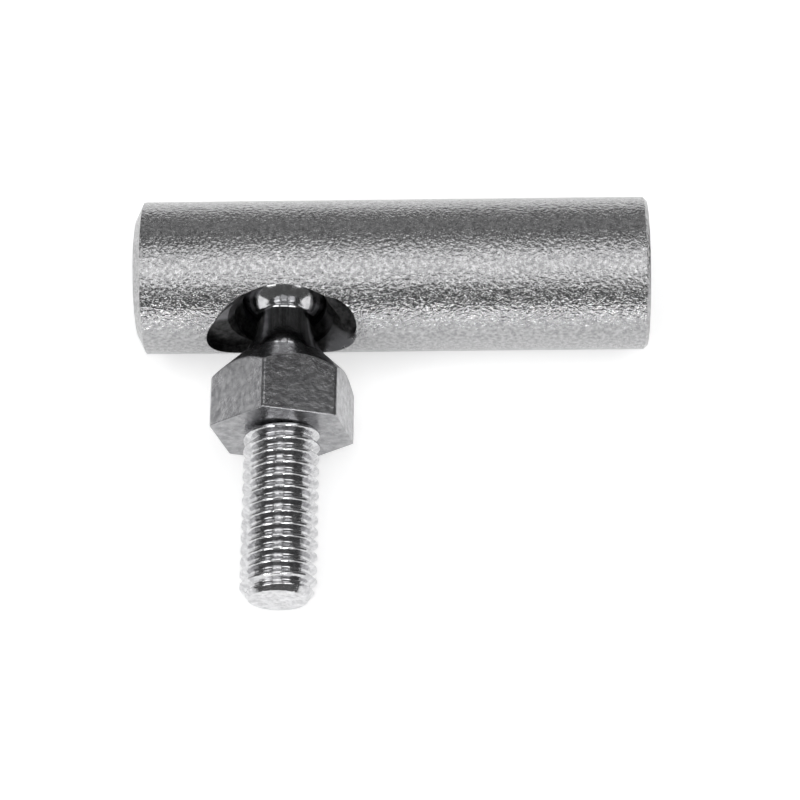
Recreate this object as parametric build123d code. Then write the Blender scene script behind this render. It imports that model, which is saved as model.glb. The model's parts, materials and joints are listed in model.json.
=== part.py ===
from build123d import *
import math
import os

os.makedirs("parts", exist_ok=True)

# ---- driving dimensions, mm and degrees ----
bar_d = 12.0                 # socket body, cut from round bar
bar_l = 40.0
ball_d = 8.0
ball_from_closed_end = 11.6  # ball centre to the plain end of the body
closed_end_chamfer_r = 1.25  # radial reach of the turned bevel on the plain end
closed_end_chamfer_x = 0.62  # axial reach of the same bevel
open_end_chamfer = 0.3
ball_clearance = 0.05        # radial, ball in its pocket

thread_d = 6.0               # M6 stud and M6 tapped body
tap_r = 2.5                  # minor radius of the tapped hole
tap_depth = 15.0             # usable depth of the tapped hole
tap_csk = 0.6                # countersink reach at the hole mouth
drill_point_angle = 118.0

neck_top_r = 2.05            # neck where it leaves the ball
neck_mid_r = 2.35
neck_base_r = 3.25           # neck where the hexagon's cone begins
neck_base_at = 6.4           # from the ball centre along the stud
hex_af = 10.0
hex_bottom_at = 13.5
hex_cone_slope = 1.12        # radial rise of the cone for each mm along the stud
stud_end_at = 27.0
thread_end_r = 2.28          # end face of the stud
thread_end_chamfer = 0.95

lip_r = 3.3                  # closed-in lip, narrower than the ball
lip_top = 2.95               # where the lip ends, from the ball centre along the mouth
throat_r = 3.85              # straight throat outside the lip
throat_from = 3.7
throat_to = 4.2              # the 90 degree flare begins here
stake_offset = 3.5           # staking marks, beside the mouth along the bar
stake_left_r = 2.75
stake_right_r = 2.45
stake_depth = 1.5
stake_skew = 8.0             # both marks sit turned about the mouth

socket_roll = 15.0           # mouth axis above the horizontal, body lying down
hex_turn = 17.0              # hexagon corner from the bar's direction, downward
stud_lean = 0.5              # stud out of square, toward the plain end

# ---- worked out from the above ----
bar_r = bar_d / 2
ball_r = ball_d / 2
pocket_r = ball_r + ball_clearance
thread_r = thread_d / 2
hex_corner_r = hex_af / 2 / math.cos(math.radians(30))
low_corner = 90 - (hex_turn + 60)
low_reach = hex_corner_r * math.cos(math.radians(low_corner))
# droop at which the lowest corner of the hexagon meets the plane under the bar
reach = math.hypot(hex_bottom_at, low_reach)
stud_droop = math.degrees(math.asin(bar_r / reach) - math.asin(low_reach / reach))

# ---- socket body: bar along X, ball centre at the origin ----
x0 = -ball_from_closed_end
x1 = bar_l - ball_from_closed_end
profile = Polyline(
    (x0, 0),
    (x0, bar_r - closed_end_chamfer_r),
    (x0 + closed_end_chamfer_x, bar_r),
    (x1 - open_end_chamfer, bar_r),
    (x1, bar_r - open_end_chamfer),
    (x1, 0),
    close=True,
)
body = revolve(make_face(profile), Axis.X, 360)

drill_tip = tap_r / math.tan(math.radians(drill_point_angle / 2))
tap_profile = Polyline(
    (x1 + 1, 0),
    (x1 + 1, tap_r + tap_csk + 1),
    (x1, tap_r + tap_csk),
    (x1 - tap_csk, tap_r),
    (x1 - tap_depth, tap_r),
    (x1 - tap_depth - drill_tip, 0),
    close=True,
)
body -= revolve(make_face(tap_profile), Axis.X, 360)

# pocket and mouth are made around +Z, then rolled to where the mouth looks out
flare_top = bar_r + 1
mouth_line = Polyline(
    (0, 0),
    (lip_r, 0),
    (lip_r, lip_top),
    (throat_r, throat_from),
    (throat_r, throat_to),
    (throat_r + flare_top - throat_to, flare_top),
    (0, flare_top),
    close=True,
)
mouth = revolve(Plane.XZ * make_face(mouth_line), Axis.Z, 360)


def stake_mark(side, radius, lean_in, lean_side):
    """A round punch mark beside the mouth."""
    x = side * stake_offset
    floor = bar_r - stake_depth
    punch = Pos(0, 0, 3) * Cylinder(radius, 6)
    punch = Rot(lean_side, -side * lean_in, 0) * punch
    return Pos(x, 0, floor) * punch


marks = stake_mark(-1, stake_left_r, 8, 6)
marks += stake_mark(1, stake_right_r, 8, -20)
marks = Rot(0, 0, stake_skew) * marks
tools = Sphere(pocket_r) + mouth + marks
# mouth axis toward -Y, raised by the roll; the skew is seen from outside the mouth
body -= Rot(90 - socket_roll, 0, 0) * tools

# ---- ball stud: one turned piece, made along +Z from the ball centre ----
neck_start = math.sqrt(ball_r**2 - neck_top_r**2)
cone_top = neck_base_at + (hex_corner_r + 1 - neck_base_r) / hex_cone_slope
stud_line = [
    Line((0, 0), (0, -ball_r)),
    ThreePointArc(
        (0, -ball_r),
        (ball_r * math.cos(math.radians(-15)), ball_r * math.sin(math.radians(-15))),
        (neck_top_r, neck_start),
    ),
    ThreePointArc(
        (neck_top_r, neck_start),
        (neck_mid_r, (neck_start + neck_base_at) / 2),
        (neck_base_r, neck_base_at),
    ),
    Line((neck_base_r, neck_base_at), (hex_corner_r + 1, cone_top)),
    Line((hex_corner_r + 1, cone_top), (hex_corner_r + 1, hex_bottom_at)),
    Line((hex_corner_r + 1, hex_bottom_at), (0, hex_bottom_at)),
    Line((0, hex_bottom_at), (0, 0)),
]
head = revolve(Plane.XZ * make_face(stud_line), Axis.Z, 360)
hexagon = extrude(RegularPolygon(hex_corner_r, 6), hex_bottom_at)
above = Pos(0, 0, -ball_r) * Cylinder(neck_base_r + 1.2, 2 * ball_r + neck_base_at)
head = head & (hexagon + above)

shank_line = Polyline(
    (0, hex_bottom_at - 1),
    (thread_r, hex_bottom_at - 1),
    (thread_r, stud_end_at - thread_end_chamfer),
    (thread_end_r, stud_end_at),
    (0, stud_end_at),
    close=True,
)
stud = head + revolve(Plane.XZ * make_face(shank_line), Axis.Z, 360)
# hexagon turned about the stud, stud laid toward -Y, drooped and leaned
stud = Rot(0, 0, hex_turn) * stud
stud = Rot(90, 0, 0) * stud
stud = Rot(0, 0, -stud_lean) * Rot(stud_droop, 0, 0) * stud

# ---- the origin sits under the middle of the whole part ----
box = Compound([body, stud]).bounding_box()
shift = Pos(-box.center().X, -box.center().Y, -box.min.Z)
export_step(shift * body, "parts/socket_body.step")
export_step(shift * stud, "parts/ball_stud.step")
print("droop", stud_droop)
print("ball centre", -box.center().X, -box.center().Y, -box.min.Z)
print("box", box.size)
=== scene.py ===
import json
import math
import bmesh
import bpy
from mathutils import Matrix, Vector


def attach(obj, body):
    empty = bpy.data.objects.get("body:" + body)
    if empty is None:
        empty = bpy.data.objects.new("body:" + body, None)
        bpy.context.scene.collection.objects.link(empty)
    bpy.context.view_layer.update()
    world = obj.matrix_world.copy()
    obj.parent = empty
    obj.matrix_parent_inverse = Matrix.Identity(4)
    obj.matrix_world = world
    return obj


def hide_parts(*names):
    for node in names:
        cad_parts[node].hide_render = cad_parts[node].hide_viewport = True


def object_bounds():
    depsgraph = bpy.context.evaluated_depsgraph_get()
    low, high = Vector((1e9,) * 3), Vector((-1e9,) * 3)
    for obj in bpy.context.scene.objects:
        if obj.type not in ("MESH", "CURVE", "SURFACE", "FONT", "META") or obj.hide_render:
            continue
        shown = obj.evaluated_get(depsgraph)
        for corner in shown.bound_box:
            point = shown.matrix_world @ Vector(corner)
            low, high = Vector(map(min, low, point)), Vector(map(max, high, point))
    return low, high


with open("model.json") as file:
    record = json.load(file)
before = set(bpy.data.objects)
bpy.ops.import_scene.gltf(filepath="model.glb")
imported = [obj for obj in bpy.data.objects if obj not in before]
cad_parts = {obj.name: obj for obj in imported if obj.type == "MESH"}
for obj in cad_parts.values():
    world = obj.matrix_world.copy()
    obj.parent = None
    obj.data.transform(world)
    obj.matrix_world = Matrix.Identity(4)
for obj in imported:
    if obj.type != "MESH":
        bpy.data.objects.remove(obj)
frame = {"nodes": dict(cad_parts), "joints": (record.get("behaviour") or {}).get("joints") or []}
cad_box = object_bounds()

MM = 0.001
joint = frame["joints"][0]
BALL = Vector(joint["pos_m"])
STUD_AXIS = Vector(joint["axis"]).normalized()


# ---------- small helpers ----------
def new_object(name, verts, faces, body=None):
    mesh = bpy.data.meshes.new(name)
    mesh.from_pydata(verts, [], faces)
    mesh.validate()
    mesh.update()
    obj = bpy.data.objects.new(name, mesh)
    bpy.context.scene.collection.objects.link(obj)
    if body:
        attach(obj, body)
    return obj


def nodes_of(name):
    mat = bpy.data.materials.new(name)
    mat.use_nodes = True
    tree = mat.node_tree
    tree.nodes.clear()
    out = tree.nodes.new("ShaderNodeOutputMaterial")
    bsdf = tree.nodes.new("ShaderNodeBsdfPrincipled")
    tree.links.new(bsdf.outputs[0], out.inputs[0])
    return mat, tree, bsdf


def value_noise(tree, vector, scale, detail, rough):
    noise = tree.nodes.new("ShaderNodeTexNoise")
    noise.inputs["Scale"].default_value = scale
    noise.inputs["Detail"].default_value = detail
    noise.inputs["Roughness"].default_value = rough
    tree.links.new(vector, noise.inputs["Vector"])
    return noise.outputs["Fac"]


def zinc(name, dark, light, rough, grain, cell):
    """Bright zinc plating: crystals of one cell size in metres, each tilting the reflection.

    The grain is the height of the crystals as a share of their size.
    """
    mat, tree, bsdf = nodes_of(name)
    new = tree.nodes.new
    link = tree.links.new
    coord = new("ShaderNodeTexCoord").outputs["Object"]
    crystals = value_noise(tree, coord, 1 / cell, 2.0, 0.55)
    tone = new("ShaderNodeValToRGB")
    tone.color_ramp.elements[0].position = 0.36
    tone.color_ramp.elements[0].color = dark + (1,)
    tone.color_ramp.elements[1].position = 0.64
    tone.color_ramp.elements[1].color = light + (1,)
    link(value_noise(tree, coord, 0.8 / cell, 3.0, 0.65), tone.inputs["Fac"])
    link(tone.outputs["Color"], bsdf.inputs["Base Color"])
    haze = new("ShaderNodeMapRange")
    haze.inputs["To Min"].default_value = rough - 0.05
    haze.inputs["To Max"].default_value = rough + 0.07
    link(value_noise(tree, coord, 0.15 / cell, 2.0, 0.5), haze.inputs["Value"])
    link(haze.outputs["Result"], bsdf.inputs["Roughness"])
    bsdf.inputs["Metallic"].default_value = 1.0
    bump = new("ShaderNodeBump")
    bump.inputs["Strength"].default_value = 1.0
    bump.inputs["Distance"].default_value = grain * cell
    link(crystals, bump.inputs["Height"])
    link(bump.outputs["Normal"], bsdf.inputs["Normal"])
    return mat


bar_zinc = zinc("bar_zinc", (0.28, 0.28, 0.285), (0.46, 0.46, 0.465), 0.17, 0.36, 0.00026)
smooth_zinc = zinc("smooth_zinc", (0.46, 0.46, 0.47), (0.60, 0.60, 0.61), 0.11, 0.03, 0.00045)
hex_zinc = zinc("hex_zinc", (0.26, 0.26, 0.27), (0.42, 0.42, 0.43), 0.26, 0.09, 0.00050)
thread_zinc = zinc("thread_zinc", (0.44, 0.44, 0.45), (0.66, 0.66, 0.67), 0.16, 0.07, 0.00035)
# near-black mouth material: painted shade for the recess round the ball
mouth_painted_shade = zinc("mouth_painted_shade", (0.03, 0.03, 0.03), (0.10, 0.10, 0.10), 0.38, 0.12, 0.00040)
bore_zinc = zinc("bore_zinc", (0.30, 0.30, 0.31), (0.48, 0.48, 0.49), 0.24, 0.05, 0.00035)
for node, mats in (
    ("socket_body", (bar_zinc, mouth_painted_shade, bore_zinc)),
    ("ball_stud", (smooth_zinc,)),
):
    obj = frame["nodes"][node]
    obj.data.materials.clear()
    for mat in mats:
        obj.data.materials.append(mat)

def paint_mouth_lit_patches(mat, obj):
    """Painted light on the staking marks: lighten the mouth's painted shade above on the closed end's
    side and below on the open end's side.
    """
    tree = mat.node_tree
    new = tree.nodes.new
    link = tree.links.new
    local = obj.matrix_world.inverted()
    roll = math.radians(MOUTH_ROLL)
    up = (local.to_3x3() @ Vector((0, math.sin(roll), math.cos(roll)))).normalized()
    along = (local.to_3x3() @ Vector((1, 0, 0))).normalized()
    rel = new("ShaderNodeVectorMath")
    rel.operation = "SUBTRACT"
    rel.inputs[1].default_value = local @ BALL
    link(new("ShaderNodeTexCoord").outputs["Object"], rel.inputs[0])

    def dot(axis):
        node = new("ShaderNodeVectorMath")
        node.operation = "DOT_PRODUCT"
        node.inputs[1].default_value = axis
        link(rel.outputs["Vector"], node.inputs[0])
        return node.outputs["Value"]

    def fade(value, low, high):
        node = new("ShaderNodeMapRange")
        node.interpolation_type = "SMOOTHSTEP"
        node.inputs["From Min"].default_value = low * MM
        node.inputs["From Max"].default_value = high * MM
        link(value, node.inputs["Value"])
        return node.outputs["Result"]

    def both(a, b, operation):
        node = new("ShaderNodeMath")
        node.operation = operation
        link(a, node.inputs[0])
        link(b, node.inputs[1])
        return node.outputs[0]

    x = dot(along)
    height = dot(up)
    # painted light: masks of the lit patches on either side of the ball
    closed_side_painted_light = both(fade(x, -2.9, -3.5), fade(height, 0.1, 0.7), "MULTIPLY")
    open_side_painted_light = both(fade(x, 2.9, 3.5), fade(height, -0.6, -1.2), "MULTIPLY")
    share = both(closed_side_painted_light, open_side_painted_light, "ADD")
    bsdf = tree.nodes["Principled BSDF"]
    dark = bsdf.inputs["Base Color"].links[0].from_socket
    mix = new("ShaderNodeMix")
    mix.data_type = "RGBA"
    link(share, mix.inputs["Factor"])
    link(dark, mix.inputs[6])
    # painted light: the grey that the lit patches are mixed towards
    mix.inputs[7].default_value = (0.30, 0.30, 0.31, 1)
    link(mix.outputs[2], bsdf.inputs["Base Color"])


# the mouth gets a near-black material, painted shade of its recess, and the bore a plain one; both are
# told apart by their place in the bar
MOUTH_ROLL = 15.0
MOUTH_REACH = 8.0
MOUTH_DEPTH = 0.12
BEVEL_REACH = 1.2
BAR_R = 6.0
BORE_R = 3.2
body_mesh = frame["nodes"]["socket_body"]
paint_mouth_lit_patches(mouth_painted_shade, body_mesh)
left = cad_box[0][0] / MM
right = cad_box[1][0] / MM
# faces of the mouth get the painted shade (index 1), faces of the bore the plain zinc (index 2)
for p in body_mesh.data.polygons:
    spot = body_mesh.matrix_world @ p.center
    off = math.hypot(spot.y - BALL.y, spot.z - BALL.z) / MM
    along = spot.x / MM
    near_ball = abs(along - BALL.x / MM) < MOUTH_REACH
    if near_ball and off < BAR_R - MOUTH_DEPTH and along > left + BEVEL_REACH:
        p.material_index = 1
    elif off < BORE_R and not near_ball and along < right - 0.01:
        p.material_index = 2


# ---------- ball stud: one turned mesh with its rolled thread ----------
BALL_R = 4.0
NECK_TOP_R = 2.05
NECK_MID_R = 2.5
NECK_MID_AT = 5.6
NECK_BASE_R = 3.45
NECK_BASE_AT = 7.2
HEX_AF = 10.0
HEX_BOTTOM = 13.5
CONE_SLOPE = 1.0
STUD_END = 27.0
END_CHAMFER = 0.95
END_R = 2.28
THREAD_R = 2.95
PITCH = 1.0
THREAD_DEPTH = 0.52
HEX_TURN = 18.5


def stud_matrix():
    """From the stud's own frame, +Z along it from the ball centre, to the row frame."""
    side = Vector((1, 0, 0))
    side = (side - side.dot(STUD_AXIS) * STUD_AXIS).normalized()
    up = STUD_AXIS.cross(side)
    turn = Matrix((side, up, STUD_AXIS)).transposed().to_4x4()
    return Matrix.Translation(BALL) @ turn @ Matrix.Rotation(math.radians(-HEX_TURN), 4, "Z")


def grid_faces(rows, columns, start=0):
    """Quads of a closed lathe grid, whose vertices run round each row in turn."""
    faces = []
    for i in range(rows - 1):
        for j in range(columns):
            a = start + i * columns + j
            b = start + i * columns + (j + 1) % columns
            faces.append((a, b, b + columns, a + columns))
    return faces


def hexagon_r(angle):
    """Radius of the hexagon at an angle, its corners very slightly broken."""
    off = (math.degrees(angle) % 60) - 30
    flat = HEX_AF / 2 / math.cos(math.radians(off))
    return min(flat, HEX_AF / 2 / math.cos(math.radians(30)) - 0.05)


def arc_r(z, p0, p1, p2):
    """Radius at height z on the circle through three (r, z) points."""
    (ax, ay), (bx, by), (cx, cy) = p0, p1, p2
    d = 2 * (ax * (by - cy) + bx * (cy - ay) + cx * (ay - by))
    ux = ((ax**2 + ay**2) * (by - cy) + (bx**2 + by**2) * (cy - ay) + (cx**2 + cy**2) * (ay - by)) / d
    uy = ((ax**2 + ay**2) * (cx - bx) + (bx**2 + by**2) * (ax - cx) + (cx**2 + cy**2) * (bx - ax)) / d
    radius = math.hypot(ax - ux, ay - uy)
    reach = math.sqrt(max(radius**2 - (z - uy) ** 2, 0.0))
    return ux - reach if ux > bx else ux + reach


def head_grid():
    offs = (-30, -29.6, -29.1, -28, -25, -21, -16, -11, -5, 0, 5, 11, 16, 21, 25, 28, 29.1, 29.6)
    angles = [math.radians(60 * k + 30 + o) for k in range(6) for o in offs]
    neck_start = math.sqrt(BALL_R**2 - NECK_TOP_R**2)
    ball_end = math.acos(neck_start / BALL_R)
    rows = []
    for i in range(49):
        polar = math.pi - 0.001 - (math.pi - 0.001 - ball_end) * i / 48
        rows.append([(BALL_R * math.sin(polar), BALL_R * math.cos(polar))] * len(angles))
    for i in range(1, 25):
        z = neck_start + (NECK_BASE_AT - neck_start) * i / 24
        r = arc_r(
            z,
            (NECK_TOP_R, neck_start),
            (NECK_MID_R, NECK_MID_AT),
            (NECK_BASE_R, NECK_BASE_AT),
        )
        rows.append([(r, z)] * len(angles))
    for t in (0.03, 0.1, 0.25, 0.4, 0.55, 0.7, 0.82, 0.9, 0.95, 0.975, 0.99):
        row = []
        for a in angles:
            r = NECK_BASE_R + (hexagon_r(a) - NECK_BASE_R) * t
            row.append((r, NECK_BASE_AT + (r - NECK_BASE_R) / CONE_SLOPE))
        rows.append(row)
    for drop, pull in ((0.0, 0.015), (0.035, 0.0), (0.1, 0.0)):
        row = []
        for a in angles:
            r = hexagon_r(a)
            z = NECK_BASE_AT + (r - NECK_BASE_R) / CONE_SLOPE
            row.append((r - pull, z + drop))
        rows.append(row)
    for t in (0.2, 0.4, 0.6, 0.8):
        row = []
        for a in angles:
            r = hexagon_r(a)
            top = NECK_BASE_AT + (r - NECK_BASE_R) / CONE_SLOPE + 0.1
            row.append((r, top + (HEX_BOTTOM - 0.1 - top) * t))
        rows.append(row)
    for r_off, z_off in ((0.0, 0.1), (0.0, 0.04), (0.012, 0.012), (0.04, 0.0), (0.1, 0.0)):
        rows.append([(hexagon_r(a) - r_off, HEX_BOTTOM - z_off) for a in angles])
    for r_ring in (4.6, 4.0, 3.4, 2.0, 0.001):
        rows.append([(min(r_ring, hexagon_r(a) - 0.12), HEX_BOTTOM) for a in angles])
    verts = []
    for row in rows:
        for (r, z), a in zip(row, angles):
            verts.append((r * math.cos(a) * MM, r * math.sin(a) * MM, z * MM))
    return verts, grid_faces(len(rows), len(angles))


def thread_profile(u, depth):
    """Depth under the crest at a fraction u of the pitch; the crest is at 0, the root at 0.5."""
    u = abs(((u + 0.5) % 1.0) - 0.5)
    flank = (u - 0.07) / 0.34
    if flank <= 0:
        return 0.0
    if flank >= 1:
        return depth
    smooth = flank * flank * (3 - 2 * flank)
    return depth * (0.55 * flank + 0.45 * smooth)


def thread_grid(start, end, r_out, depth, columns, chamfer):
    """A right-hand thread swept round +Z between two heights, its rows following the helix."""
    marks = [0, 0.04, 0.07, 0.1, 0.16, 0.24, 0.32, 0.38, 0.41, 0.45, 0.5]
    marks = marks + [1 - m for m in reversed(marks[1:-1])]
    turns = int((end - start) / PITCH) + 3
    rows = [k + m for k in range(-1, turns) for m in marks]
    verts = []
    for v in rows:
        for j in range(columns):
            a = 2 * math.pi * j / columns
            z = start + (v + j / columns) * PITCH
            r = r_out - thread_profile(v, depth)
            if z > end:
                z = end
            if z < start:
                z = start
            r = min(r, chamfer(z))
            verts.append((r * math.cos(a) * MM, r * math.sin(a) * MM, z * MM))
    per_turn = len(marks)
    faces = []
    for i in range(len(rows) - 1):
        for j in range(columns - 1):
            a = i * columns + j
            faces.append((a, a + 1, a + 1 + columns, a + columns))
        if i + per_turn + 1 < len(rows):
            a = i * columns + columns - 1
            b = (i + per_turn) * columns
            faces.append((a, b, b + columns, a + columns))
    return verts, faces


def make_stud():
    head_v, head_f = head_grid()

    def end_cone(z):
        return END_R + (STUD_END - z) * (3.0 - END_R) / END_CHAMFER

    thread_v, thread_f = thread_grid(HEX_BOTTOM - 0.02, STUD_END, THREAD_R, THREAD_DEPTH, 120, end_cone)
    verts = head_v + thread_v
    n = len(head_v)
    faces = head_f + [tuple(i + n for i in f) for f in thread_f]
    # end face: a flat disc of rings
    n = len(verts)
    rings = (END_R, END_R - 0.05, 1.6, 0.8, 0.01)
    for r in rings:
        for j in range(96):
            a = 2 * math.pi * j / 96
            verts.append((r * math.cos(a) * MM, r * math.sin(a) * MM, STUD_END * MM))
    faces += grid_faces(len(rings), 96, n)
    place = stud_matrix()
    verts = [tuple(place @ Vector(v)) for v in verts]
    obj = new_object("ball_stud_threaded", verts, faces)
    bm = bmesh.new()
    bm.from_mesh(obj.data)
    bmesh.ops.remove_doubles(bm, verts=bm.verts, dist=1e-7)
    bmesh.ops.dissolve_degenerate(bm, edges=bm.edges, dist=1e-8)
    bmesh.ops.recalc_face_normals(bm, faces=bm.faces)
    bm.to_mesh(obj.data)
    bm.free()
    for p in obj.data.polygons:
        p.use_smooth = True
    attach(obj, "ball_stud")
    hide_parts("ball_stud")
    return obj


stud = make_stud()
for mat in (smooth_zinc, hex_zinc, thread_zinc):
    stud.data.materials.append(mat)
for p in stud.data.polygons:
    along = (p.center - BALL).dot(STUD_AXIS) / MM
    if along > HEX_BOTTOM + 0.02:
        p.material_index = 2
    elif along > NECK_BASE_AT:
        p.material_index = 1


# ---------- stage ----------
def plane(name, size, z):
    s = size / 2
    return new_object(name, [(-s, -s, z), (s, -s, z), (s, s, z), (-s, s, z)], [(0, 1, 2, 3)])


PAPER_GLOW = 0.45
floor = plane("floor", 6.0, 0.0)
mat, tree, bsdf = nodes_of("floor_paper")
bsdf.inputs["Base Color"].default_value = (0.93, 0.93, 0.93, 1)
bsdf.inputs["Roughness"].default_value = 0.9
# the paper's own white, for camera, mirror and transmitted rays; the shadow stays on it
rays = tree.nodes.new("ShaderNodeLightPath")
seen = tree.nodes.new("ShaderNodeMath")
seen.operation = "ADD"
tree.links.new(rays.outputs["Is Camera Ray"], seen.inputs[0])
tree.links.new(rays.outputs["Is Glossy Ray"], seen.inputs[1])
through = tree.nodes.new("ShaderNodeMath")
through.operation = "ADD"
tree.links.new(seen.outputs[0], through.inputs[0])
tree.links.new(rays.outputs["Is Transmission Ray"], through.inputs[1])
white = tree.nodes.new("ShaderNodeMath")
white.operation = "MULTIPLY"
white.inputs[1].default_value = PAPER_GLOW
tree.links.new(through.outputs[0], white.inputs[0])
bsdf.inputs["Emission Color"].default_value = (1, 1, 1, 1)
tree.links.new(white.outputs[0], bsdf.inputs["Emission Strength"])
floor.data.materials.append(mat)

world = bpy.data.worlds.new("studio")
bpy.context.scene.world = world
world.use_nodes = True
wt = world.node_tree
wt.nodes["Background"].inputs["Color"].default_value = (0.12, 0.12, 0.12, 1)
wt.nodes["Background"].inputs["Strength"].default_value = 1.0


def panel(name, side, elevation, distance, width, length, radiance):
    """A lamp facing the part: tilted to one side of overhead, and raised from the camera's side."""
    t = math.radians(side)
    e = math.radians(elevation)
    back = Vector((math.sin(t), -math.cos(t) * math.cos(e), math.cos(t) * math.sin(e)))
    across = Vector((1, 0, 0)) - back * back.x
    across.normalize()
    lamp = bpy.data.lights.new(name, "AREA")
    lamp.shape = "RECTANGLE"
    lamp.size = width
    lamp.size_y = length
    # an area lamp of power P shows a radiance of P / (pi * area)
    lamp.energy = radiance * math.pi * width * length
    obj = bpy.data.objects.new(name, lamp)
    turn = Matrix((across, back.cross(across), back)).transposed().to_4x4()
    obj.matrix_world = Matrix.Translation(BALL + back * distance) @ turn
    bpy.context.scene.collection.objects.link(obj)
    return obj


panel("overhead", 0, 80, 1.0, 0.5, 1.2, 1.6)
panel("overhead_left", -33, 70, 1.0, 0.42, 0.95, 2.6)
panel("overhead_right", 33, 70, 1.0, 0.42, 0.95, 2.6)
panel("back_fill", 0, 147, 1.0, 1.2, 0.5, 0.34)
panel("left_fill", -64, 170, 1.0, 0.5, 0.5, 0.6)
panel("front_left", -13, 5, 0.8, 0.07, 0.10, 22.0)
panel("front_right", 13, 5, 0.8, 0.07, 0.10, 22.0)

# ---------- camera ----------
cam = bpy.data.cameras.new("camera")
cam.sensor_width = 36.0
cam.lens = 136.6
cam.clip_start = 0.01
cam.clip_end = 20.0
camera = bpy.data.objects.new("camera", cam)
camera.location = BALL + Vector((13.499, -109.581, 212.663)) * MM
camera.rotation_euler = (math.radians(24.909), math.radians(1.244), math.radians(-0.067))
bpy.context.scene.collection.objects.link(camera)
bpy.context.scene.camera = camera
bpy.context.scene.view_settings.view_transform = "Standard"
